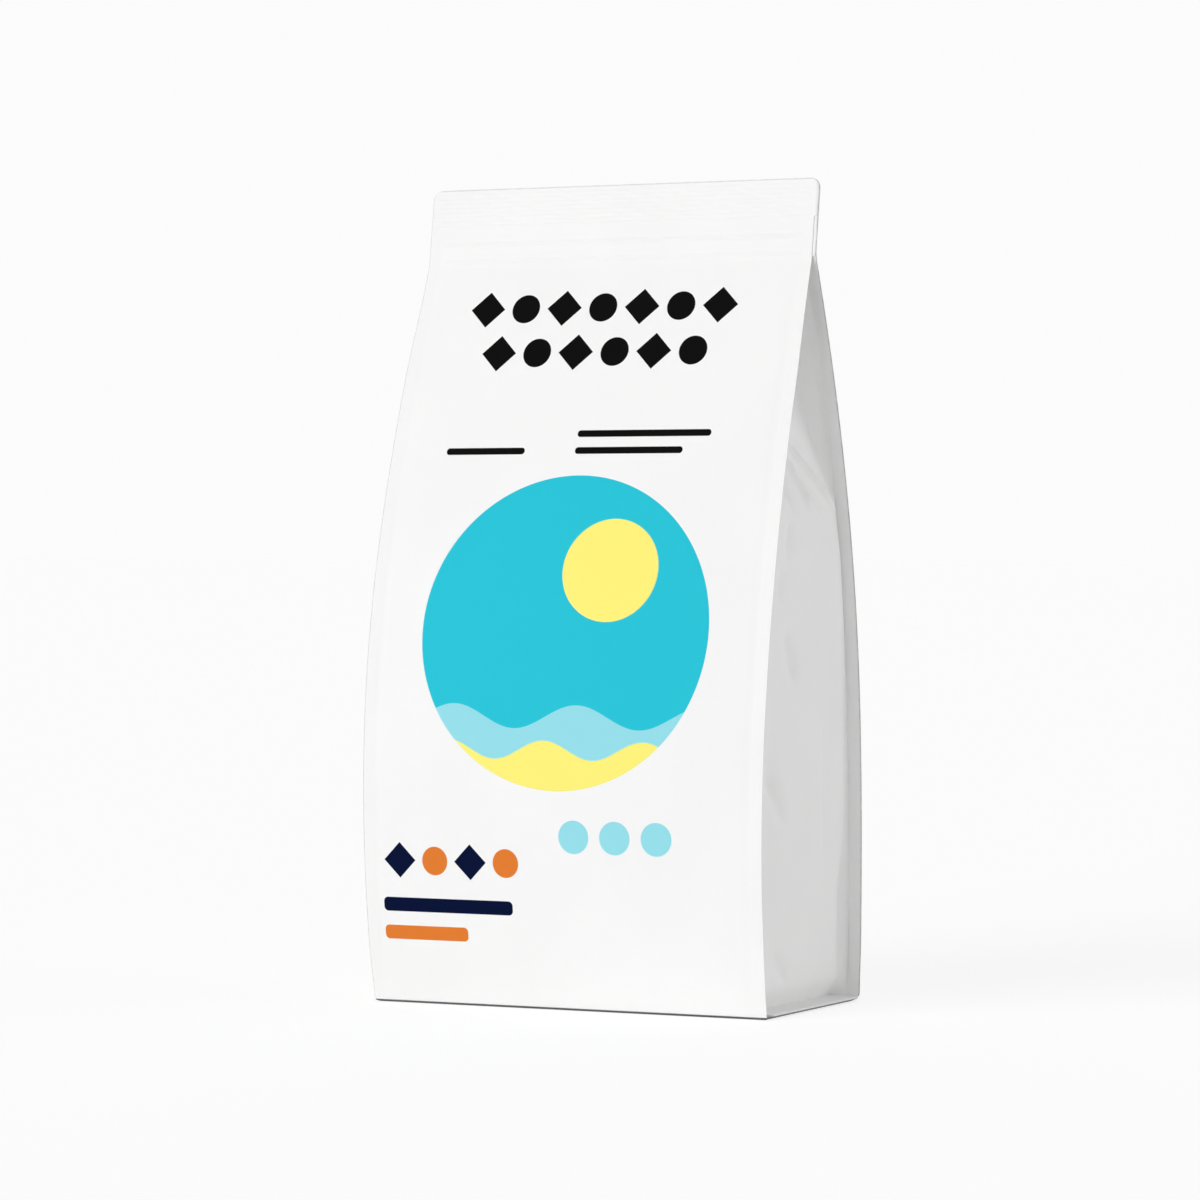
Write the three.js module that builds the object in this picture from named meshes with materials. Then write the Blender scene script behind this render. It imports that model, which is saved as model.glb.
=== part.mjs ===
// Stand-up pet food bag: a sealed flat-bottom pouch with side gussets, four edge-seal fins,
// a leaning flat header and a press-to-close zipper. Millimetres, +Z up, front panel to -Y,
// origin at the middle of the base panel.
import * as THREE from "three";
import { mergeVertices } from "three/addons/utils/BufferGeometryUtils.js";

// Overall sizes
const panelWidth = 185; // front and back panel, fin edge to fin edge
const bagHeight = 349; // base to top edge of the header
const baseDepth = 95; // base panel, front to back
const headerHeight = 33; // flat part above the gussets

// Film and seals
const sealThickness = 0.4; // two layers of laminate, in a fin or the base seal
const finWidth = 6; // edge seals along the four corners
const headerThickness = 0.8; // four layers of laminate
const topCornerRadius = 4.5;
const bottomCornerRadius = 3.5;

// How the filling shapes the panels: handle points of the side profile
const swellHeight = 0.39; // share of the height below the header
const taperHeight = 0.72;
const frontSwell = 24.5; // beyond half the base depth
const frontTaper = 36; // from the middle plane
const backSwell = 2.5;
const backTaper = 37.7;
const frontCrown = 4; // extra bulge half way across the front panel
const backCrown = 3;
const gussetBow = 2;
const sideBow = 1.4; // how far each side edge bows out half way up

// Gusset fold
const foldDrop = 109; // from the foot of the header down to where the gusset starts to lean in
const leanDepth = 6; // how far it leans in below the sharp tuck
const tuckDrop = 52; // from the foot of the header down to where the sharp tuck starts
const tuckDepth = 45; // depth of the tuck under the header
const flapGap = 3; // air between a panel and the tucked film behind it
const foldRound = 1.5; // how far the tuck's inner fold rounds past its creases

// Header
const headerLean = 0.15; // backward travel for each millimetre of height
const zipperBottom = 1; // above the foot of the header
const zipperHeight = 8;
const zipperRise = 0.5; // how far the zipper stands out of each face
const zipperInset = 10; // from each side edge

// Facets
const bodyRows = 34;
const panelColumns = 5; // between the middle and a fin

const halfWidth = panelWidth / 2;
const tipHeight = bagHeight - headerHeight;
const closeHeight = tipHeight - 2;
const foldHeight = tipHeight - foldDrop;
const tuckHeight = tipHeight - tuckDrop;

// The front and back edges share their heights, so one curve parameter gives a level row.
function sideProfile(base, low, high, top) {
  return new THREE.CubicBezierCurve(
    new THREE.Vector2(base, 0),
    new THREE.Vector2(low, swellHeight * tipHeight),
    new THREE.Vector2(high, taperHeight * tipHeight),
    new THREE.Vector2(top, tipHeight),
  );
}
const halfBase = baseDepth / 2;
const frontProfile = sideProfile(
  -halfBase, -halfBase - frontSwell, -frontTaper, -headerThickness / 2);
const backProfile = sideProfile(
  halfBase, halfBase + backSwell, backTaper, headerThickness / 2);

function curveParameter(z) {
  let low = 0;
  let high = 1;
  for (let step = 0; step < 40; step += 1) {
    const middle = (low + high) / 2;
    if (frontProfile.getPoint(middle).y < z) low = middle;
    else high = middle;
  }
  return (low + high) / 2;
}

function edgeDepths(z) {
  if (z >= tipHeight) {
    const lean = headerLean * (z - tipHeight);
    return { front: lean - headerThickness / 2, back: lean + headerThickness / 2 };
  }
  const t = curveParameter(z);
  return { front: frontProfile.getPoint(t).x, back: backProfile.getPoint(t).x };
}

// Half-width of a row: bowed out by the filling, with the panel's corners rounded at the top and
// the bottom.
function rowHalfWidth(z) {
  const intoTop = z - (bagHeight - topCornerRadius);
  if (intoTop > 0) {
    const rest = Math.max(0, topCornerRadius ** 2 - intoTop ** 2);
    return halfWidth - topCornerRadius + Math.sqrt(rest);
  }
  const intoBottom = bottomCornerRadius - z;
  if (intoBottom > 0) {
    const rest = Math.max(0, bottomCornerRadius ** 2 - intoBottom ** 2);
    return halfWidth - bottomCornerRadius + Math.sqrt(rest);
  }
  return halfWidth + sideBow * bulge(z);
}

// Inner edge of the fins on a row
function finRoot(z) {
  return halfWidth - finWidth + sideBow * bulge(z);
}

function bulge(z) {
  return z < tipHeight ? Math.sin((Math.PI * z) / tipHeight) ** 2 : 0;
}

const zipperHalf = halfWidth - zipperInset;
function zipper(x, z) {
  const start = tipHeight + zipperBottom;
  if (z < start || z > start + zipperHeight) return 0;
  return Math.abs(x) <= zipperHalf ? zipperRise : 0;
}

// X of each column on the right half of a panel, from next to the middle out to the fin's edge.
function columns(z) {
  const inner = [];
  for (let k = 1; k <= panelColumns; k += 1) inner.push((zipperHalf * k) / panelColumns);
  return [...inner, finRoot(z), rowHalfWidth(z)];
}

// Outer face of a panel from the left fin to the right fin.
function panelRow(z, edge, crown) {
  const right = columns(z);
  const across = [...right.map((x) => -x).reverse(), 0, ...right];
  return across.map((x) => {
    const share = Math.max(0, 1 - (x / finRoot(z)) ** 2);
    return [x, edge + Math.sign(crown) * zipper(x, z) + crown * bulge(z) * share];
  });
}

// Inner points of the right side from the front fin's root to the back fin's root: along the
// film behind the front panel to the slanting crease, across the gusset, and back out.
function gussetRow(z, front, back) {
  const leaning = THREE.MathUtils.clamp((z - foldHeight) / (tuckHeight - foldHeight), 0, 1);
  const tucking = Math.max(0, (z - tuckHeight) / (tipHeight - tuckHeight));
  const inward = leanDepth * leaning + (tuckDepth - leanDepth) * tucking;
  const share = inward / tuckDepth;
  const rootX = finRoot(z);
  const creaseX = rootX - inward;
  const gap = sealThickness + flapGap * (1 - share);
  const frontRoot = [rootX, front + sealThickness];
  const backRoot = [rootX, back - sealThickness];
  const frontCrease = [creaseX, front + gap];
  const backCrease = [creaseX, back - gap];
  const bow = gussetBow * bulge(Math.min(z * 1.5, tipHeight)) * (1 - share) - foldRound * share;
  const between = (a, b, s, out) => [a[0] + (b[0] - a[0]) * s + out, a[1] + (b[1] - a[1]) * s];
  return [
    frontRoot,
    between(frontRoot, frontCrease, 0.5, 0),
    frontCrease,
    between(frontCrease, backCrease, 0.25, bow * 0.75),
    between(frontCrease, backCrease, 0.5, bow),
    between(frontCrease, backCrease, 0.75, bow * 0.75),
    backCrease,
    between(backCrease, backRoot, 0.5, 0),
    backRoot,
  ];
}

// Two points on the fins' inner corners, which every row has.
function finRow(z, front, back) {
  const layer = Math.min(sealThickness, (back - front) / 3);
  const x = rowHalfWidth(z);
  return [[x, front + layer], [x, back - layer]];
}

const positions = [];
const triangles = [];
function addPoints(points, z) {
  return points.map(([x, y]) => {
    positions.push(x, y, z);
    return positions.length / 3 - 1;
  });
}
const mirrored = (points) => points.map(([x, y]) => [-x, y]).reverse();

// One level row of the bag, as vertex numbers. Body rows also have the two gussets.
function addRow(z, withGussets) {
  const { front, back } = edgeDepths(z);
  const [finFront, finBack] = finRow(z, front, back);
  const side = withGussets ? gussetRow(z, front, back) : [];
  return {
    front: addPoints(panelRow(z, front, -frontCrown), z),
    right: addPoints([finFront, ...side, finBack], z),
    back: addPoints(panelRow(z, back, backCrown).reverse(), z),
    left: addPoints(mirrored([finFront, ...side, finBack]), z),
  };
}
const ringOf = (row) => [...row.front, ...row.right, ...row.back, ...row.left];
// The same row with each gusset passed over, for the base seal and the header.
const ends = (list) => [list[0], list[list.length - 1]];
const outerRingOf = (row) => [
  ...row.front, ...ends(row.right), ...row.back, ...ends(row.left)];

function join(lower, upper) {
  lower.forEach((a, i) => {
    const next = (i + 1) % lower.length;
    triangles.push(a, lower[next], upper[next], a, upper[next], upper[i]);
  });
}

function face(points, facingUp) {
  const [a, b, c] = points;
  if (facingUp) triangles.push(a, b, c);
  else triangles.push(a, c, b);
}

// Flat face over a whole row: strips from front to back, and a fan at each side edge.
function coverRow({ front, right, back, left }, facingUp) {
  const last = front.length - 1;
  const behind = [...back].reverse();
  for (let k = 1; k < last - 1; k += 1) {
    face([front[k], front[k + 1], behind[k + 1]], facingUp);
    face([front[k], behind[k + 1], behind[k]], facingUp);
  }
  const rightEdge = [front[last], right[0], right[1], behind[last - 1]];
  const leftEdge = [behind[1], left[0], left[1], front[0]];
  for (let k = 0; k < 3; k += 1) {
    face([front[last - 1], rightEdge[k], rightEdge[k + 1]], facingUp);
    face([front[1], leftEdge[k], leftEdge[k + 1]], facingUp);
  }
  face([right[1], behind[last], behind[last - 1]], facingUp);
  face([behind[1], behind[0], left[0]], facingUp);
}

// Top of the base seal outside a gusset, which is still flat there.
function coverLedge(loop) {
  const last = loop.length - 1;
  const middle = last / 2;
  for (let k = 1; k < last - 1; k += 1) {
    face([k < middle ? loop[0] : loop[last], loop[k + 1], loop[k]], true);
  }
  face([loop[0], loop[last], loop[middle]], true);
}

// Roof over a gusset's tuck, in strips from the mouth inwards.
function coverTuck(loop) {
  const last = loop.length - 1;
  const middle = last / 2;
  for (let k = 0; k < middle - 1; k += 1) {
    face([loop[k], loop[last - 1 - k], loop[k + 1]], false);
    face([loop[k], loop[last - k], loop[last - 1 - k]], false);
  }
  face([loop[middle - 1], loop[middle + 1], loop[middle]], false);
}

// Base seal: a flat plate one seal thick, as wide as the fins
const basePlate = addRow(0, false);
coverRow(basePlate, false);
const heights = [sealThickness, 1.2, bottomCornerRadius];
for (let k = 1; k <= bodyRows; k += 1) {
  const share = k / bodyRows;
  heights.push(bottomCornerRadius + (closeHeight - bottomCornerRadius) * share);
}

// Body with its gussets, from the base seal up to where the two panels meet
let row = addRow(heights[0], true);
join(ringOf(basePlate), outerRingOf(row));
coverLedge(row.right);
coverLedge(row.left);
for (const z of heights.slice(1)) {
  const next = addRow(z, true);
  join(ringOf(row), ringOf(next));
  row = next;
}
coverTuck(row.right);
coverTuck(row.left);

// Header: the panels lie flat on each other, with the zipper standing out a little
const zipperStart = tipHeight + zipperBottom;
const zipperEnd = zipperStart + zipperHeight;
const ramp = 0.8;
const cornerStart = bagHeight - topCornerRadius;
const headerHeights = [
  tipHeight, zipperStart - ramp, zipperStart, zipperEnd, zipperEnd + ramp, cornerStart];
for (const turn of [0.3, 0.55, 0.8, 1]) {
  headerHeights.push(cornerStart + topCornerRadius * Math.sin((turn * Math.PI) / 2));
}
let ring = outerRingOf(row);
for (const z of headerHeights) {
  row = addRow(z, false);
  join(ring, ringOf(row));
  ring = ringOf(row);
}
coverRow(row, true);

const surface = new THREE.BufferGeometry();
surface.setAttribute("position", new THREE.Float32BufferAttribute(positions, 3));
surface.setIndex(triangles);
const geometry = mergeVertices(surface, 1e-3);
geometry.computeVertexNormals();

const film = new THREE.MeshStandardMaterial({ color: 0xf4f4f2, roughness: 0.55, metalness: 0 });
const bag = new THREE.Mesh(geometry, film);
bag.name = "bag";

const model = new THREE.Group();
model.name = "pet_food_bag";
model.add(bag);

export default model;
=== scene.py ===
import math

import bpy
import numpy as np
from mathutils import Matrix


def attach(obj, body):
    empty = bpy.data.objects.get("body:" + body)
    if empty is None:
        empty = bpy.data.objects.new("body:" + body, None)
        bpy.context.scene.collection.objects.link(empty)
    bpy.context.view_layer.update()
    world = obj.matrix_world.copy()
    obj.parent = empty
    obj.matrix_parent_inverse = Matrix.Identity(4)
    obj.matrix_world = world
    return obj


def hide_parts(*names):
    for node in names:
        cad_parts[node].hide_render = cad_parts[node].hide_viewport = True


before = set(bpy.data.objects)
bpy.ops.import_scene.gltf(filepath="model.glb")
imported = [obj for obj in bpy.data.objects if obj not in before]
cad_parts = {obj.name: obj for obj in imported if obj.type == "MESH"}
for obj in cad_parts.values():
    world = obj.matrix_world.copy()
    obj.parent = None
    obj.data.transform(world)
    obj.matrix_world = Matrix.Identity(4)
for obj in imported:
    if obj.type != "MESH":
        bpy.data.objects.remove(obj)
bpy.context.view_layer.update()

# Bag film: one envelope of white film laminate, two panels, two side gussets and a base, heat-sealed
# along fins at the corners, round the base and in the header. The filling pushes the panels out, and
# the gussets tuck in below the header. Sizes are in millimetres, and the mesh is in metres.
panel_width = 185.0
bag_height = 349.0
base_depth = 95.0
header_height = 33.0
header_lean = 0.15
fin_width = 6.0
seal_thickness = 0.4
header_thickness = 0.8
top_corner = 4.5
front_corner = 1.5
back_corner = 3.5
half_width = panel_width / 2
tip_height = bag_height - header_height
close_height = tip_height - 0.1


def ease(value, low, high):
    share = np.clip((np.asarray(value, float) - low) / (high - low), 0.0, 1.0)
    return share * share * (3.0 - 2.0 * share)


# Side view of the front and back panel: a cubic through the base, the swell, the taper and the
# foot of the header, with the bend at the header softened.
swell_level = 0.39 * tip_height
taper_level = 0.72 * tip_height
front_swell = base_depth / 2 + 24.5
front_taper = 36.0
back_swell = base_depth / 2 + 2.5
back_taper = 37.7
bend_spread = np.linspace(-2.5, 2.5, 11)
curve_t = np.linspace(0.0, 1.0, 4001)


def cubic(start, low, high, end):
    rest = 1.0 - curve_t
    return (rest ** 3 * start + 3.0 * curve_t * rest ** 2 * low
            + 3.0 * curve_t ** 2 * rest * high + curve_t ** 3 * end)


curve_z = cubic(0.0, swell_level, taper_level, tip_height)
front_curve = cubic(-base_depth / 2, -front_swell, -front_taper, -header_thickness / 2)
back_curve = cubic(base_depth / 2, back_swell, back_taper, header_thickness / 2)


def edge_depth(z, curve):
    heights = np.clip(np.asarray(z, float)[..., None] + bend_spread, 0.0, None)
    depth = np.interp(heights, curve_z, curve)
    depth += np.clip(heights - tip_height, 0.0, None) * header_lean
    soft = depth.mean(axis=-1)
    exact = np.interp(z, curve_z, curve)
    return exact + (soft - exact) * ease(z, 8.0, 20.0)


def swell(z):
    return np.sin(np.pi * np.clip(z / tip_height, 0.0, 1.0)) ** 2


def side_bow(z):
    # The side edges bow out half way up and draw in a little at the base.
    bow_out = 1.4
    draw_in = 0.5
    return bow_out * swell(z) - draw_in * (1.0 - ease(z, 0.0, 30.0))


def fin_root(z):
    return half_width - fin_width + side_bow(z)


def corner_cut(into_corner, radius):
    into_corner = np.clip(into_corner, 0.0, radius)
    return radius - np.sqrt(radius ** 2 - into_corner ** 2)


def row_half_width(z, bottom_corner):
    top_cut = corner_cut(z - (bag_height - top_corner), top_corner)
    return float(half_width + side_bow(z) - top_cut - corner_cut(bottom_corner - z, bottom_corner))


# Near the top the layers are cut narrower. At the right, up to the top seal, that is the front layers
# alone, and they leave a strip of the back layers bare.
trim_start = 268.0
right_strip = 1.55
right_strip_run = 48.0
left_strip = 1.15
left_strip_run = 32.0
strip_top = 333.0


def right_trim(z):
    grown = np.clip((z - trim_start) / right_strip_run, 0.0, 1.0)
    return right_strip * float(grown * (1.0 - ease(z, strip_top - 0.5, strip_top + 0.3)))


def left_trim(z):
    return left_strip * float(np.clip((z - trim_start) / left_strip_run, 0.0, 1.0))


# Levels from the base to the top edge. They are close together where the film bends.
base_levels = (0.0, 0.3, 0.7, 1.0, 1.3, 1.8)
base_insets = (2.4, 1.3, 0.4, 0.1, 0.0, 0.0)
body_levels = np.concatenate([
    np.linspace(2.1, 3.0, 3),
    np.linspace(3.6, 16.0, 15),
    np.linspace(17.4, 200.0, 109),
    np.linspace(200.9, 250.0, 52),
    np.linspace(251.7, close_height, 39),
])
header_levels = np.concatenate([
    np.linspace(close_height + 0.6, 331.0, 44),
    np.linspace(331.3, bag_height - 0.75, 58),
    bag_height - top_corner + top_corner * np.sin(np.linspace(0.78, 1.0, 5) * math.pi / 2),
])

# A panel from its left to its right edge, with the crown that the filling gives it, slight
# unevenness, puckers along the fins and the two raised tracks of the zipper.
front_crown = 4.0
back_crown = 3.0
shoulder_rise = 0.2
seam_depth = 0.12
ripple_height = 0.22
pucker_height = 0.05
track_height = 0.4
zipper_height = 0.15
zipper_low = 317.1
zipper_high = 324.7
fin_steps = np.array([0.12, 0.3, 0.5, 0.72, 0.93, 1.0])
inner_steps = np.sin(np.linspace(-1.0, 1.0, 45) * 1.2) / math.sin(1.2)


def panel_x(z, left_cut, right_cut, bottom_corner):
    root = fin_root(z)
    width = row_half_width(z, bottom_corner)
    left = root + fin_steps * (width - left_cut - root)
    right = root + fin_steps * (width - right_cut - root)
    return np.concatenate([-left[::-1], inner_steps * root, right])


def panel_bulge(x, z, crown):
    root = fin_root(z)
    inside = np.clip(1.0 - (x / root) ** 2, 0.0, 1.0)
    from_fin = np.clip(root - np.abs(x), 0.0, None)
    below_header = 1.0 - ease(z, 296.0, 316.0)
    puff = crown * swell(z) * inside
    shoulder = shoulder_rise * ease(from_fin, 0.0, 2.6) * ease(z, 1.0, 12.0)
    shoulder = shoulder * (1.0 - ease(z, 300.0, 330.0))
    seam = -seam_depth * np.exp(-((np.abs(x) - root) / 0.5) ** 2) * ease(z, 4.0, 20.0)
    ripple = np.sin(x / 23.0 + 0.9) * np.sin(z / 37.0 + 0.4) * np.sin(z / 61.0 + x / 83.0)
    ripple = ripple_height * ripple
    ripple = ripple * ease(from_fin, 0.0, 6.0) * ease(z, 4.0, 30.0) * below_header
    pucker = pucker_height * np.sin(z / 2.6 + 1.3 * np.sin(z / 19.0)) * np.exp(-from_fin / 7.0)
    pucker = pucker * ease(from_fin, 0.0, 1.5) * ease(z, 4.0, 20.0) * below_header
    tracks = np.exp(-((z - zipper_low) / 0.8) ** 2) + np.exp(-((z - zipper_high) / 0.8) ** 2)
    band = ease(z, zipper_low - 1.0, zipper_low + 0.4)
    band = band * (1.0 - ease(z, zipper_high, zipper_high + 1.0))
    zipper = (track_height * tracks + zipper_height * band) * ease(from_fin, 1.0, 4.0)
    return puff + shoulder + seam + ripple + pucker + zipper


# A gusset at one level, from the front fin's edge round to the back fin's: along the ear behind
# the front panel to a crease, across the face, and back out along the other ear.
lean_depth = 5.5
lean_start = 196.0
lean_end = 272.0
tuck_depth = 45.0
tuck_level = 264.0
flap_gap = 3.0
valley_width = 4.5
upper_stand = 2.2
lower_stand = 0.7
fin_inner = np.array([1.0, 0.88, 0.65, 0.4, 0.12])
ear_steps = np.linspace(0.0, 1.0, 11)[:-1] ** 1.6
bend_steps = np.linspace(0.0, 1.0, 6)[:, None]
face_steps = np.linspace(0.0, 1.0, 58)[1:-1]
# Folds that the filling presses into the face: from y, z to y, z, half width and rise.
folds = (
    (-10.0, 240.0, 27.0, 212.0, 2.0, 3.4),
    (-14.0, 234.0, 3.0, 211.0, 2.0, 3.4),
    (-6.0, 226.0, 14.0, 210.0, 2.6, -2.4),
    (-20.0, 230.0, -13.0, 211.0, 3.0, -3.2),
    (-16.0, 204.0, -20.0, 190.0, 3.2, -2.2),
    (-25.0, 184.0, -27.0, 172.0, 3.2, -2.2),
    (-20.0, 158.0, -9.0, 138.0, 3.0, -3.4),
    (-30.0, 99.0, -16.0, 80.0, 3.0, -3.2),
    (-33.0, 116.0, -32.0, 22.0, 9.0, -4.0),
    (-24.0, 25.0, -12.0, 13.0, 3.0, -2.0),
    (20.0, 128.0, 23.0, 60.0, 5.0, -0.9),
    (43.0, 60.0, 41.5, 12.0, 4.5, -1.8),
)


def fold_relief(y, z):
    relief = 0.1 * np.sin(y / 7.3 + z / 31.0) * np.sin(z / 17.0 + 1.3 * np.sin(y / 19.0))
    for from_y, from_z, to_y, to_z, width, rise in folds:
        run_y = to_y - from_y
        run_z = to_z - from_z
        length = math.hypot(run_y, run_z)
        along = ((y - from_y) * run_y + (z - from_z) * run_z) / length ** 2
        beside = ((y - from_y) * run_z - (z - from_z) * run_y) / length
        window = ease(along, -0.2, 0.25) * (1.0 - ease(along, 0.75, 1.2))
        relief += rise * window * np.exp(-np.abs(beside / width) ** 1.5)
    return relief


def back_set(z):
    # Above the filling and at the lower corners the back panel stands behind the edge of its fins.
    above = upper_stand * ease(z, 200.0, 245.0) * (1.0 - ease(z, 290.0, 314.0))
    below = lower_stand * ease(z, 3.0, 14.0) * (1.0 - ease(z, 20.0, 46.0))
    return float(above + below)


def fillet(before, corner, after, reach):
    towards = before - corner
    onwards = after - corner
    start = corner + towards * min(0.45, reach / np.linalg.norm(towards))
    end = corner + onwards * min(0.45, reach / np.linalg.norm(onwards))
    rest = 1.0 - bend_steps
    return rest ** 2 * start + 2.0 * bend_steps * rest * corner + bend_steps ** 2 * end


def gusset_path(z, front, back, hand):
    lean = lean_depth * float(ease(z, lean_start, lean_end))
    tuck = max(z - tuck_level, 0.0) / (tip_height - tuck_level)
    inward = lean + (tuck_depth - lean_depth) * tuck ** 1.2
    share = inward / tuck_depth
    root_x = fin_root(z)
    gap = seal_thickness + flap_gap * (1.0 - share)
    front_root = np.array([root_x, front + seal_thickness])
    back_root = np.array([root_x, back - seal_thickness])
    front_crease = np.array([root_x - inward, front + gap])
    back_crease = np.array([root_x - inward, back - gap])
    reach = 0.5 + 1.5 * (1.0 - share)
    first = fillet(front_root, front_crease, back_crease, reach)
    second = fillet(front_crease, back_crease, back_root, reach)
    ear = front_root + (first[0] - front_root) * ear_steps[:, None]
    across = first[-1] + (second[0] - first[-1]) * face_steps[:, None]
    back_ear = second[-1] + (back_root - second[-1]) * (1.0 - ear_steps[::-1])[:, None]
    # The tucked film lies against the panel next to the seal and comes away from it further in.
    hug = 0.3 * (gap - seal_thickness) * ease(share, 0.0, 0.15) * (1.0 - ease(share, 0.5, 1.0))
    for flap, side in ((ear, -1.0), (back_ear, 1.0)):
        depth = np.clip((root_x - flap[:, 0]) / (inward + 0.1), 0.0, 1.0)
        flap[:, 1] += side * hug * depth * (1.0 - depth)
    back_ear[:, 1] += back_set(z) * (1.0 - ease(root_x - back_ear[:, 0], 0.0, valley_width))
    path = np.concatenate([ear, first, across, second, back_ear])

    # Low down the face lies inside the fins' line and flares out to the base seal, half way up it
    # swells, and below the tuck it sinks in.
    from_front = path[:, 1] - front - seal_thickness
    from_back = back - seal_thickness - path[:, 1]
    swelling = np.interp(z, (0.0, 50.0, 88.0, 125.0, 190.0, 212.0, 225.0, 245.0, 266.0),
                         (-1.5, -1.2, -0.5, 0.0, 1.5, 1.0, -0.8, -4.5, -8.5))
    swelling -= 0.36 * (10.0 - z + math.hypot(10.0 - z, 3.0))
    corner = np.interp(z, (0.0, 12.0, 105.0, 150.0, 190.0), (3.0, 6.0, 3.0, 2.2, 2.4))
    border = ease(from_front, 0.0, 9.0) * np.clip(from_back / corner, 0.0, 1.0)
    if hand == "right":
        relief = fold_relief(path[:, 1], z)
    else:
        relief = 0.85 * fold_relief(0.9 * path[:, 1], z + 9.0)
    path[:, 0] += (swelling + relief * ease(z, 8.0, 14.0)) * border * (1.0 - share)
    return path


def body_side(z, front, back, front_cut, back_cut, hand):
    root_x = fin_root(z)
    front_x = root_x + fin_inner * (row_half_width(z, front_corner) - front_cut - root_x)
    back_x = root_x + fin_inner[::-1] * (row_half_width(z, back_corner) - back_cut - root_x)
    back_y = back - seal_thickness + back_set(z) * (1.0 - fin_inner[::-1]) ** 2
    front_fin = np.stack([front_x, np.full(len(fin_inner), front + seal_thickness)], axis=1)
    back_fin = np.stack([back_x, back_y], axis=1)
    return np.concatenate([front_fin, gusset_path(z, front, back, hand), back_fin])


foot_side = body_side(body_levels[0], -base_depth / 2, base_depth / 2, 0.0, 0.0, "right")
side_count = len(foot_side)
edge_spots = 0.7 * (foot_side[:, 1] / base_depth + 0.5) + 0.3 * np.linspace(0.02, 0.98, side_count)


gape_depth = 4.0


def base_side(z, front, back, front_cut, back_cut, hand):
    # The edge of the base seal, which gapes a little next to the front fin.
    inset = float(np.interp(z, base_levels, base_insets))
    depth = front + (back - front) * edge_spots
    from_end = np.minimum(depth - front, back - depth)
    full_width = half_width + side_bow(z)
    end_width = np.where(depth < 0.0, row_half_width(z, front_corner), row_half_width(z, back_corner))
    rounding = (full_width - end_width) * (1.0 - ease(from_end, 0.0, 5.0))
    gape = gape_depth * float(z > 1.1) * (1.0 - ease(depth - front, 5.0, 8.0))
    return np.stack([full_width - inset - rounding - gape, depth], axis=1)


strip_across = np.array([0.0, 0.45, 1.0])
strip_depth = np.array([0.33, 0.36, 0.5])


def header_side(z, front, back, front_cut, back_cut, hand):
    # The front layers' edge, then the strip of the back layers that they leave bare.
    width = row_half_width(z, front_corner)
    across = width - front_cut + strip_across * (front_cut - back_cut)
    return np.stack([across, front + (back - front) * strip_depth], axis=1)


# Rings are stacked from the base up: body rings run round both gussets, header rings pass straight
# from the front layers to the back layers. Each point also has its place on the front panel, the
# side that it faces to, and how much painted shade its edge gets, a grey line that stands in for the
# shadow along the cut edges and the top edge.
points = []
faces = []
panel_place = []
facing = []
edge_shade_amounts = []
path_z = np.linspace(0.0, bag_height, 3000)
path_steps = np.hypot(np.diff(path_z), np.diff(edge_depth(path_z, front_curve)))
path_length = np.concatenate([[0.0], np.cumsum(path_steps)])
column_count = 2 * len(fin_steps) + len(inner_steps)
end_count = len(strip_across)
uv_width = 200.0
uv_height = 400.0


def add(across, depth, level, face=0.0, edge_shade_amount=0.0, place=(-4.0, -4.0)):
    first = len(points)
    count = len(across)
    points.extend(zip(across, depth, np.broadcast_to(level, count)))
    panel_place.extend(np.broadcast_to(place, (count, 2)))
    facing.extend([face] * count)
    edge_shade_amounts.extend(np.broadcast_to(edge_shade_amount, count))
    return list(range(first, first + count))


def add_ring(z, side):
    front = float(edge_depth(z, front_curve))
    back = float(edge_depth(z, back_curve))
    inset = float(np.interp(z, base_levels, base_insets))
    at_top = 0.6 * float(z > bag_height - 0.6)
    in_header = float(z > tip_height)
    above_strip = float(z > strip_top)
    cut_line = float(z > 2.0)
    front += inset
    back -= inset

    x = panel_x(z, left_trim(z), right_trim(z), front_corner)
    # Painted shade: a grey line along the cut edges and the top edge, wider on the right near the
    # top, standing in for shadow.
    edge_shade_amount = np.full(column_count, at_top)
    edge_shade_amount[0] = cut_line
    edge_shade_amount[-1] = max(in_header, at_top)
    edge_shade_amount[-2] = max(0.5 * above_strip, at_top)
    up_panel = np.interp(z, path_z, path_length)
    place = np.stack([x / uv_width + 0.5, np.full(column_count, up_panel / uv_height)], axis=1)
    ring = add(x, front - panel_bulge(x, z, front_crown), z, -1.0, edge_shade_amount, place)

    right = side(z, front, back, right_trim(z), 0.0, "right")
    edge_shade_amount = np.full(len(right), at_top)
    edge_shade_amount[-1] = cut_line
    ring += add(right[:, 0], right[:, 1], z, 0.0, edge_shade_amount)

    x = panel_x(z, left_trim(z), 0.0, back_corner)[::-1]
    from_edge = np.clip((half_width + side_bow(z) - np.abs(x)) / fin_width, 0.0, 1.0)
    stand = back_set(z) * from_edge ** 2
    edge_shade_amount = np.full(column_count, at_top)
    edge_shade_amount[0] = cut_line
    edge_shade_amount[-1] = cut_line
    ring += add(x, back + stand + panel_bulge(x, z, back_crown), z, 1.0, edge_shade_amount)

    left = side(z, front, back, left_trim(z), left_trim(z), "left")[::-1]
    edge_shade_amount = np.full(len(left), at_top)
    edge_shade_amount[0] = cut_line
    return ring + add(-left[:, 0], left[:, 1], z, 0.0, edge_shade_amount)


def join(lower, upper):
    for k in range(len(upper)):
        n = (k + 1) % len(upper)
        corners = tuple(dict.fromkeys((lower[k], lower[n], upper[n], upper[k])))
        faces.append(corners)


def parts_of(ring):
    right_end = column_count + side_count
    back_end = right_end + column_count
    front = ring[:column_count]
    right = ring[column_count:right_end]
    back = ring[right_end:back_end][::-1]
    left = ring[back_end:][::-1]
    return front, right, back, left


rings = [add_ring(z, base_side) for z in base_levels]
rings += [add_ring(z, body_side) for z in body_levels]
for lower, upper in zip(rings, rings[1:]):
    join(lower, upper)

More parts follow.
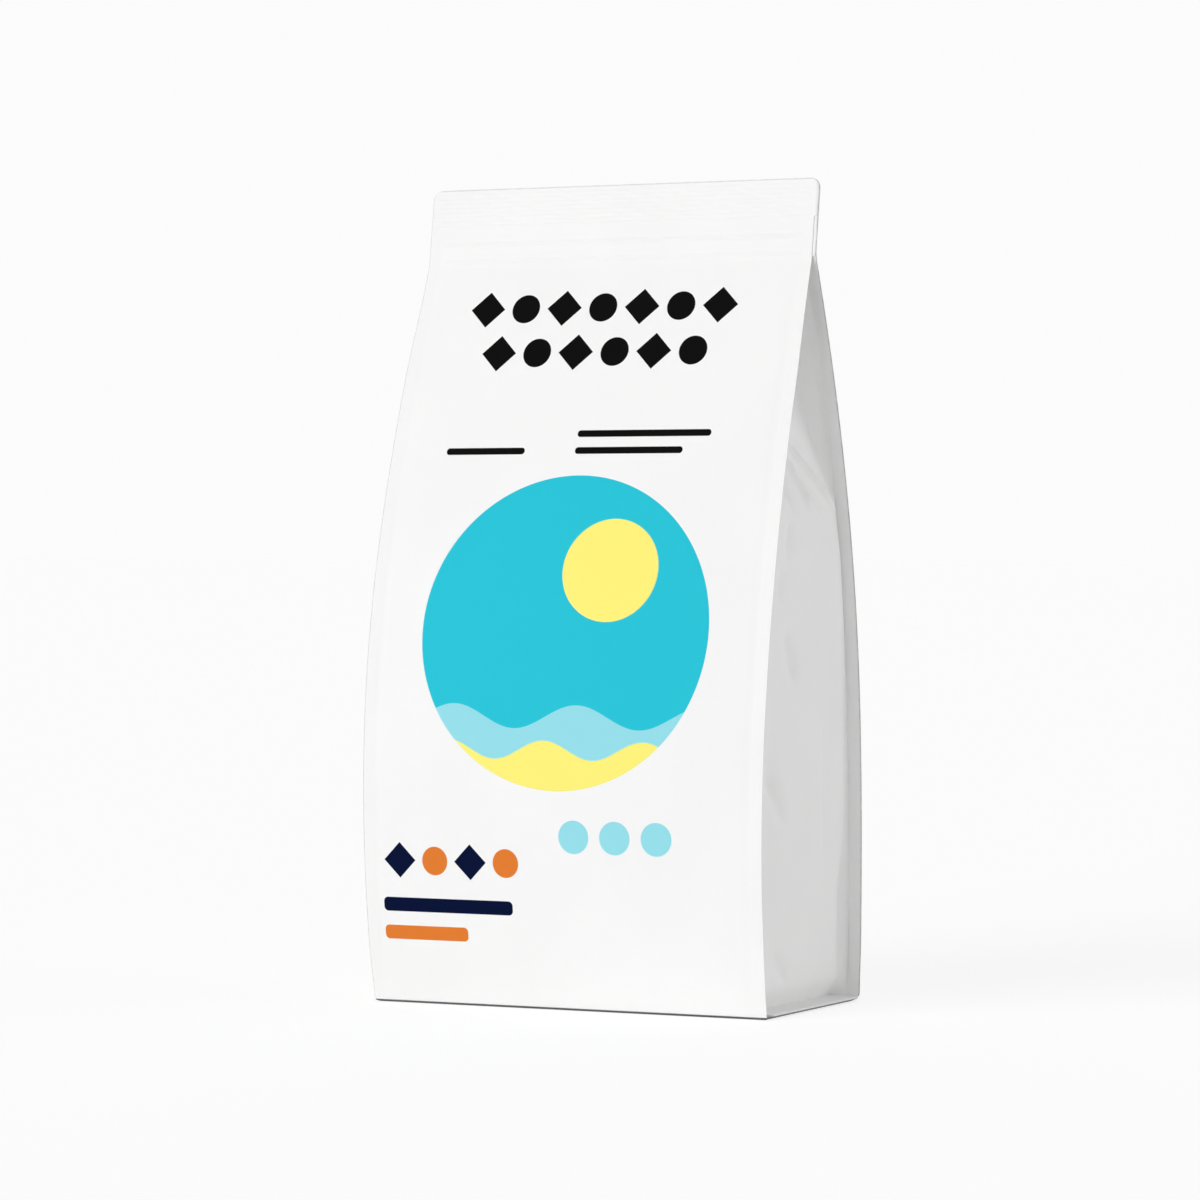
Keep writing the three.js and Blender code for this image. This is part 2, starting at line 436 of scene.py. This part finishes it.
# The base panel is a grid from the front edge to the back edge, slightly raised inside its seal,
# with the crease where it was folded before filling.
base_rise = 0.35
fold_rise = 0.5
fold_spread = 1.6
front_edge, right_edge, back_edge, left_edge = parts_of(rings[0])
columns = [[front_edge[0]] + left_edge + [back_edge[0]]]
for k in range(1, column_count - 1):
    near = np.array(points[front_edge[k]])
    far = np.array(points[back_edge[k]])
    grid = near + (far - near) * edge_spots[:, None]
    from_seal = np.minimum(edge_spots, 1.0 - edge_spots) * base_depth
    raised = ease(half_width - 2.5 - abs(near[0]), 4.0, 9.0) * ease(from_seal, 4.0, 9.0)
    crease = fold_rise * np.exp(-((edge_spots - 0.5) * base_depth / fold_spread) ** 2)
    middle = add(grid[:, 0], grid[:, 1], (base_rise + crease) * raised)
    columns.append([front_edge[k]] + middle + [back_edge[k]])
columns.append([front_edge[-1]] + right_edge + [back_edge[-1]])
for left, right in zip(columns, columns[1:]):
    for k in range(len(left) - 1):
        faces.append((left[k], left[k + 1], right[k + 1], right[k]))

# A roof closes each tuck below the header, and a strip closes the top edge.
front_top, right_top, back_top, left_top = parts_of(rings[-1])
for side in (right_top, left_top[::-1]):
    last = len(side) - 1
    for k in range((last + 1) // 2):
        corners = (side[k], side[k + 1], side[last - 1 - k], side[last - k])
        corners = tuple(dict.fromkeys(corners))
        if len(corners) > 2:
            faces.append(corners)
ring = front_top + [right_top[0], right_top[-1], right_top[-1]]
ring += back_top[::-1] + [left_top[-1], left_top[-1], left_top[0]]
for z in header_levels:
    upper = add_ring(z, header_side)
    join(ring, upper)
    ring = upper
front_row = ring[:column_count]
right_end = ring[column_count:column_count + end_count]
back_row = ring[column_count + end_count:2 * column_count + end_count][::-1]
left_end = ring[2 * column_count + end_count:]
for k in range(column_count - 1):
    faces.append((front_row[k], front_row[k + 1], back_row[k + 1], back_row[k]))
faces.append((front_row[-1], *right_end, back_row[-1]))
faces.append((back_row[0], *left_end, front_row[0]))

millimetre = 0.001
film_mesh = bpy.data.meshes.new("bag_film")
film_mesh.from_pydata(np.array(points) * millimetre, [], faces)
film_mesh.validate()
uv_layer = film_mesh.uv_layers.new(name="panel")
loop_vertex = np.empty(len(film_mesh.loops), int)
film_mesh.loops.foreach_get("vertex_index", loop_vertex)
uv_layer.data.foreach_set("uv", np.array(panel_place, float)[loop_vertex].ravel())
level = np.array(points)[:, 2]
# Point attributes: the side each point faces, the painted shade on the film's edges, and the painted
# shadow low on the base edge.
for name, values in (("facing", np.array(facing, float)), ("edge_shade", np.array(edge_shade_amounts, float)),
                     ("foot_shadow", 1.0 - ease(level, 1.0, 1.3))):
    film_mesh.attributes.new(name, "FLOAT", "POINT").data.foreach_set("value", values)
film_mesh.shade_smooth()
bag = bpy.data.objects.new("bag_film", film_mesh)
bpy.context.collection.objects.link(bag)

# Film finish: matt white laminate with a fine grain, with painted shade along its cut edges, patchy
# at random, and a dark painted shadow where the base edge turns under. The print lies in the film of
# the front panel, in panel millimetres: plain fields, discs, waves, diamonds and bars.
film = bpy.data.materials.new("white_film")
film.use_nodes = True
film_nodes = film.node_tree.nodes
film_links = film.node_tree.links
shader = film_nodes["Principled BSDF"]


def film_node(kind, values):
    node = film_nodes.new(kind)
    for name, value in values.items():
        if isinstance(value, bpy.types.NodeSocket):
            film_links.new(value, node.inputs[name])
        else:
            node.inputs[name].default_value = value
    return node


def film_math(operation, first, second=0.0, third=0.0):
    node = film_node("ShaderNodeMath", {0: first, 1: second, 2: third})
    node.operation = operation
    return node.outputs[0]


def film_vector(operation, first, second=(0.0, 0.0, 0.0), third=(0.0, 0.0, 0.0)):
    node = film_node("ShaderNodeVectorMath", {0: first, 1: second, 2: third})
    node.operation = operation
    return node.outputs["Value" if operation in ("LENGTH", "DISTANCE") else "Vector"]


def film_range(value, low, high, new_low=0.0, new_high=1.0):
    node = film_node("ShaderNodeMapRange", {
        "Value": value, "From Min": low, "From Max": high, "To Min": new_low, "To Max": new_high})
    return node.outputs["Result"]


def film_mix(under, over, mask):
    node = film_nodes.new("ShaderNodeMix")
    node.data_type = "RGBA"
    film_links.new(mask, node.inputs["Factor"])
    for slot, tone in ((6, under), (7, over)):
        if isinstance(tone, bpy.types.NodeSocket):
            film_links.new(tone, node.inputs[slot])
        else:
            node.inputs[slot].default_value = (*tone, 1.0)
    return node.outputs[2]


panel_uv = film_node("ShaderNodeUVMap", {})
panel_uv.uv_map = "panel"
spot = film_vector("MULTIPLY_ADD", panel_uv.outputs["UV"], (uv_width, uv_height, 0.0),
                   (-uv_width / 2, 0.0, 0.0))
spot_xy = film_node("ShaderNodeSeparateXYZ", {"Vector": spot})
print_softness = 0.09


def inside(distance):
    return film_range(distance, print_softness, -print_softness)


def both(first, second):
    return film_math("MULTIPLY", first, second)


def disc(x, y, radius):
    return inside(film_math("SUBTRACT", film_vector("DISTANCE", spot, (x, y, 0.0)), radius))


def bar(left, right, low, high, radius):
    centre = ((left + right) / 2, (low + high) / 2, 0.0)
    half = ((right - left) / 2 - radius, (high - low) / 2 - radius, 10.0)
    away = film_vector("ABSOLUTE", film_vector("SUBTRACT", spot, centre))
    away = film_vector("MAXIMUM", film_vector("SUBTRACT", away, half))
    return inside(film_math("SUBTRACT", film_vector("LENGTH", away), radius))


def below_wave(level, swing, length, start):
    turn = film_math("MULTIPLY_ADD", spot_xy.outputs["X"], 2.0 * math.pi / length, start)
    crest = film_math("MULTIPLY_ADD", film_math("SINE", turn), swing, level)
    return inside(film_math("SUBTRACT", spot_xy.outputs["Y"], crest))


def motif_row(left, level, pitch, count, size):
    # A row of diamonds and discs in turn, one every pitch along the panel.
    along = film_math("DIVIDE", film_math("SUBTRACT", spot_xy.outputs["X"], left), pitch)
    cell = film_math("FLOOR", along)
    offset = film_math("SUBTRACT", film_math("SUBTRACT", along, cell), 0.5)
    across = film_math("ABSOLUTE", film_math("MULTIPLY", offset, pitch))
    up = film_math("ABSOLUTE", film_math("SUBTRACT", spot_xy.outputs["Y"], level))
    from_middle = film_math("ABSOLUTE", film_math("SUBTRACT", along, count / 2))
    within = film_math("LESS_THAN", from_middle, count / 2)
    odd = both(film_math("MODULO", cell, 2.0), within)
    even = film_math("SUBTRACT", within, odd)
    reach = film_math("SQRT", film_math("ADD", both(across, across), both(up, up)))
    discs = inside(film_math("SUBTRACT", reach, 0.8 * size))
    slope = film_math("SUBTRACT", film_math("ADD", across, up), size)
    diamonds = inside(film_math("MULTIPLY", slope, math.sqrt(0.5)))
    return both(diamonds, even), both(discs, odd)


teal = (0.022, 0.552, 0.687)
pale_teal = (0.305, 0.737, 0.823)
yellow = (0.99, 0.888, 0.202)
orange = (0.76, 0.205, 0.032)
navy = (0.001, 0.005, 0.034)
black = (0.001, 0.001, 0.001)
white_low = (0.915, 0.915, 0.912)
white_high = (0.93, 0.93, 0.926)
# Painted shade: the grey that stands in for the shadow along the cut edges.
edge_shade_grey = (0.3, 0.3, 0.31)
# Painted shadow: the near black of the base edge where it turns under onto the floor.
foot_shadow_grey = (0.17, 0.17, 0.175)
pool = disc(0.0, 160.0, 67.0)
upper_diamonds, upper_discs = motif_row(-67.0, 303.0, 18.4, 7, 8.2)
lower_diamonds, lower_discs = motif_row(-57.8, 282.5, 18.4, 6, 8.2)
foot_diamonds, foot_discs = motif_row(-84.0, 62.0, 17.0, 4, 7.6)
print_layers = (
    (teal, pool),
    (pale_teal, both(pool, below_wave(124.0, 5.0, 58.0, 0.6))),
    (yellow, both(pool, below_wave(110.0, 4.0, 46.0, 2.4))),
    (yellow, disc(20.0, 186.0, 22.0)),
    (pale_teal, disc(8.0, 74.0, 7.0)),
    (pale_teal, disc(27.0, 74.0, 7.0)),
    (pale_teal, disc(46.0, 74.0, 7.0)),
    (black, upper_diamonds),
    (black, upper_discs),
    (black, lower_diamonds),
    (black, lower_discs),
    (black, bar(-4.0, 58.0, 244.0, 247.0, 1.4)),
    (black, bar(-4.0, 46.0, 236.5, 239.5, 1.4)),
    (black, bar(-66.0, -28.0, 236.5, 239.5, 1.4)),
    (navy, foot_diamonds),
    (orange, foot_discs),
    (navy, bar(-84.0, -22.0, 40.0, 46.0, 2.0)),
    (orange, bar(-84.0, -44.0, 28.0, 34.0, 2.0)),
)

film_place = film_node("ShaderNodeTexCoord", {}).outputs["Object"]
cloud = film_node("ShaderNodeTexNoise", {"Vector": film_place, "Scale": 22.0, "Detail": 3.0})
edge_shade_noise = film_node("ShaderNodeTexNoise", {"Vector": film_place, "Scale": 260.0, "Detail": 2.0})
grain = film_node("ShaderNodeTexNoise", {"Vector": film_place, "Scale": 1400.0, "Detail": 2.0})
colour = film_mix(white_low, white_high, film_range(cloud.outputs["Fac"], 0.35, 0.65))
for ink, mask in print_layers:
    colour = film_mix(colour, ink, mask)
edge_shade = film_node("ShaderNodeAttribute", {})
edge_shade.attribute_name = "edge_shade"
foot_shadow = film_node("ShaderNodeAttribute", {})
foot_shadow.attribute_name = "foot_shadow"
# Painted shade along the cut edges, patchy at random.
edge_shade_strength = film_range(edge_shade_noise.outputs["Fac"], 0.3, 0.7, 0.55, 0.9)
colour = film_mix(colour, edge_shade_grey, both(film_math("POWER", edge_shade.outputs["Fac"], 1.5), edge_shade_strength))
# Painted shadow along the foot of the base edge, where it turns under.
colour = film_mix(colour, foot_shadow_grey, foot_shadow.outputs["Fac"])
film_links.new(colour, shader.inputs["Base Color"])
film_links.new(film_range(cloud.outputs["Fac"], 0.3, 0.7, 0.44, 0.54), shader.inputs["Roughness"])
shader.inputs["Specular IOR Level"].default_value = 0.03
grain_bump = film_node("ShaderNodeBump", {
    "Strength": 0.12, "Distance": 0.0001, "Height": grain.outputs["Fac"]})
film_links.new(grain_bump.outputs["Normal"], shader.inputs["Normal"])

# Top seal: the sealing bar presses level ribs into both faces of the header, above the zipper. They
# are pressed into the film's own mesh, so they stay part of the one piece.
ribs = bpy.data.node_groups.new("seal_ribs", "GeometryNodeTree")
ribs.interface.new_socket("Film", in_out="INPUT", socket_type="NodeSocketGeometry")
for name, value in (("Pitch", 0.00195), ("Height", 0.0001), ("Bottom", 0.332), ("Top", 0.3478),
                    ("Half width", 0.0905)):
    socket = ribs.interface.new_socket(name, in_out="INPUT", socket_type="NodeSocketFloat")
    socket.default_value = value
ribs.interface.new_socket("Film", in_out="OUTPUT", socket_type="NodeSocketGeometry")
rib_in = ribs.nodes.new("NodeGroupInput")
rib_out = ribs.nodes.new("NodeGroupOutput")


def rib_math(operation, first, second=0.0):
    node = ribs.nodes.new("ShaderNodeMath")
    node.operation = operation
    for socket, value in zip(node.inputs, (first, second)):
        if isinstance(value, float):
            socket.default_value = value
        else:
            ribs.links.new(value, socket)
    return node.outputs[0]


def rib_fade(value, low, high):
    node = ribs.nodes.new("ShaderNodeMapRange")
    node.interpolation_type = "SMOOTHSTEP"
    for socket, source in (("Value", value), ("From Min", low), ("From Max", high)):
        ribs.links.new(source, node.inputs[socket])
    return node.outputs["Result"]


place = ribs.nodes.new("ShaderNodeSeparateXYZ")
ribs.links.new(ribs.nodes.new("GeometryNodeInputPosition").outputs[0], place.inputs[0])
below_top = rib_math("SUBTRACT", rib_in.outputs["Top"], place.outputs["Z"])
turns = rib_math("DIVIDE", below_top, rib_in.outputs["Pitch"])
wave = rib_math("SINE", rib_math("MULTIPLY", turns, 2.0 * math.pi))
band = rib_fade(place.outputs["Z"], rib_in.outputs["Bottom"],
                rib_math("ADD", rib_in.outputs["Bottom"], 0.0008))
band = rib_math("MULTIPLY", band, rib_fade(
    rib_math("ABSOLUTE", place.outputs["X"]), rib_in.outputs["Half width"],
    rib_math("SUBTRACT", rib_in.outputs["Half width"], 0.003)))
band = rib_math("MULTIPLY", band, rib_fade(
    place.outputs["Z"], rib_in.outputs["Top"], rib_math("SUBTRACT", rib_in.outputs["Top"], 0.0006)))
outward = ribs.nodes.new("GeometryNodeInputNamedAttribute")
outward.data_type = "FLOAT"
outward.inputs["Name"].default_value = "facing"
push = rib_math("MULTIPLY", rib_math("MULTIPLY", wave, band), rib_in.outputs["Height"])
offset = ribs.nodes.new("ShaderNodeCombineXYZ")
ribs.links.new(rib_math("MULTIPLY", push, outward.outputs["Attribute"]), offset.inputs["Y"])
press = ribs.nodes.new("GeometryNodeSetPosition")
whole = ribs.nodes.new("GeometryNodeRealizeInstances")
coat = ribs.nodes.new("GeometryNodeSetMaterial")
coat.inputs["Material"].default_value = film
ribs.links.new(rib_in.outputs["Film"], press.inputs["Geometry"])
ribs.links.new(offset.outputs[0], press.inputs["Offset"])
ribs.links.new(press.outputs["Geometry"], whole.inputs["Geometry"])
ribs.links.new(whole.outputs["Geometry"], coat.inputs["Geometry"])
ribs.links.new(coat.outputs["Geometry"], rib_out.inputs["Film"])
pressing = bag.modifiers.new("seal_ribs", "NODES")
pressing.node_group = ribs
pressed = bpy.data.meshes.new_from_object(
    bag.evaluated_get(bpy.context.evaluated_depsgraph_get()))
bag.modifiers.remove(pressing)
bag.data = pressed
crease_angle = math.radians(40.0)
bag.data.set_sharp_from_angle(angle=crease_angle)
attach(bag, "root")
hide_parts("bag")

# Floor: a plain pale sheet that the bag stands on, matt so that it mirrors nothing. Seen directly it
# is close to white and keeps part of the shadow, and to the bag it is a plain white bounce.
floor_reach = 30.0
floor_corners = [(-floor_reach, -floor_reach, 0.0), (floor_reach, -floor_reach, 0.0),
                 (floor_reach, floor_reach, 0.0), (-floor_reach, floor_reach, 0.0)]
floor_mesh = bpy.data.meshes.new("floor")
floor_mesh.from_pydata(floor_corners, [], [(0, 1, 2, 3)])
floor = bpy.data.objects.new("floor", floor_mesh)
bpy.context.collection.objects.link(floor)
floor_paint = bpy.data.materials.new("floor_paint")
floor_paint.use_nodes = True
floor_nodes = floor_paint.node_tree.nodes
floor_links = floor_paint.node_tree.links
floor_shader = floor_nodes["Principled BSDF"]
floor_shader.inputs["Roughness"].default_value = 1.0
floor_shader.inputs["Specular IOR Level"].default_value = 0.0
floor_shader.inputs["Emission Color"].default_value = (1.0, 1.0, 1.0, 1.0)
bounce_tone = (0.9, 0.9, 0.9, 1.0)
seen_tone = (0.32, 0.32, 0.32, 1.0)
seen_glow = 0.75


def seen_directly(nodes, links):
    # Camera, glossy and transmission rays count as seen directly, all other rays don't.
    path = nodes.new("ShaderNodeLightPath")
    first = nodes.new("ShaderNodeMath")
    first.operation = "MAXIMUM"
    links.new(path.outputs["Is Camera Ray"], first.inputs[0])
    links.new(path.outputs["Is Glossy Ray"], first.inputs[1])
    second = nodes.new("ShaderNodeMath")
    second.operation = "MAXIMUM"
    links.new(first.outputs[0], second.inputs[0])
    links.new(path.outputs["Is Transmission Ray"], second.inputs[1])
    return second.outputs[0]


floor_seen = seen_directly(floor_nodes, floor_links)
floor_tone = floor_nodes.new("ShaderNodeMix")
floor_tone.data_type = "RGBA"
floor_tone.inputs[6].default_value = bounce_tone
floor_tone.inputs[7].default_value = seen_tone
floor_links.new(floor_seen, floor_tone.inputs["Factor"])
floor_links.new(floor_tone.outputs[2], floor_shader.inputs["Base Color"])
floor_glow = floor_nodes.new("ShaderNodeMath")
floor_glow.operation = "MULTIPLY"
floor_glow.inputs[1].default_value = seen_glow
floor_links.new(floor_seen, floor_glow.inputs[0])
floor_links.new(floor_glow.outputs[0], floor_shader.inputs["Emission Strength"])
floor_mesh.materials.append(floor_paint)

# Light: a low level from all round, weaker overhead, a wide soft key from the front left, and two
# soft fills, one from the right and one from behind. The backdrop seen directly is near white.
world = bpy.data.worlds.new("studio")
bpy.context.scene.world = world
world.use_nodes = True
world_nodes = world.node_tree.nodes
world_links = world.node_tree.links
background = world_nodes["Background"]
background.inputs["Color"].default_value = (1.0, 1.0, 1.0, 1.0)
sky_place = world_nodes.new("ShaderNodeTexCoord")
sky_height = world_nodes.new("ShaderNodeSeparateXYZ")
world_links.new(sky_place.outputs["Generated"], sky_height.inputs[0])
sky_level = world_nodes.new("ShaderNodeMapRange")
sky_level.inputs["To Min"].default_value = 0.6
sky_level.inputs["To Max"].default_value = 0.3
world_links.new(sky_height.outputs["Z"], sky_level.inputs["Value"])
world_links.new(sky_level.outputs["Result"], background.inputs["Strength"])
backdrop = world_nodes.new("ShaderNodeBackground")
backdrop.inputs["Color"].default_value = (1.0, 1.0, 1.0, 1.0)
backdrop.inputs["Strength"].default_value = 0.97
blend = world_nodes.new("ShaderNodeMixShader")
world_links.new(seen_directly(world_nodes, world_links), blend.inputs["Fac"])
world_links.new(background.outputs["Background"], blend.inputs[1])
world_links.new(backdrop.outputs["Background"], blend.inputs[2])
world_links.new(blend.outputs["Shader"], world_nodes["World Output"].inputs["Surface"])
# Each lamp: name, strength, spread, lean from straight down and heading, in degrees.
lamps = (
    ("key", 1.82, 50.0, 72.0, -24.0),
    ("right_fill", 1.05, 60.0, 85.0, 110.0),
    ("back_fill", 0.5, 60.0, 75.0, 210.0),
)
for name, strength, spread, lean, heading in lamps:
    lamp_data = bpy.data.lights.new(name, "SUN")
    lamp_data.energy = strength
    lamp_data.angle = math.radians(spread)
    lamp = bpy.data.objects.new(name, lamp_data)
    lamp.rotation_euler = (math.radians(lean), 0.0, math.radians(heading))
    bpy.context.collection.objects.link(lamp)

# Camera: a long lens a little to the right of the front and almost level, at the height of the
# middle of the bag.
aim_height = 0.1758
aim_distance = 2.032
turn = math.radians(26.46)
tilt = math.radians(0.69)
camera_data = bpy.data.cameras.new("camera")
camera_data.sensor_width = 36.0
camera_data.lens = 142.717
camera_data.shift_x = -0.01474
camera_data.shift_y = -0.00858
camera_data.clip_end = 100.0
camera = bpy.data.objects.new("camera", camera_data)
camera.location = (
    math.sin(turn) * math.cos(tilt) * aim_distance,
    -math.cos(turn) * math.cos(tilt) * aim_distance,
    aim_height + math.sin(tilt) * aim_distance,
)
camera.rotation_euler = (math.pi / 2 - tilt, 0.0, turn)
bpy.context.collection.objects.link(camera)
bpy.context.scene.camera = camera
bpy.context.scene.view_settings.view_transform = "Standard"
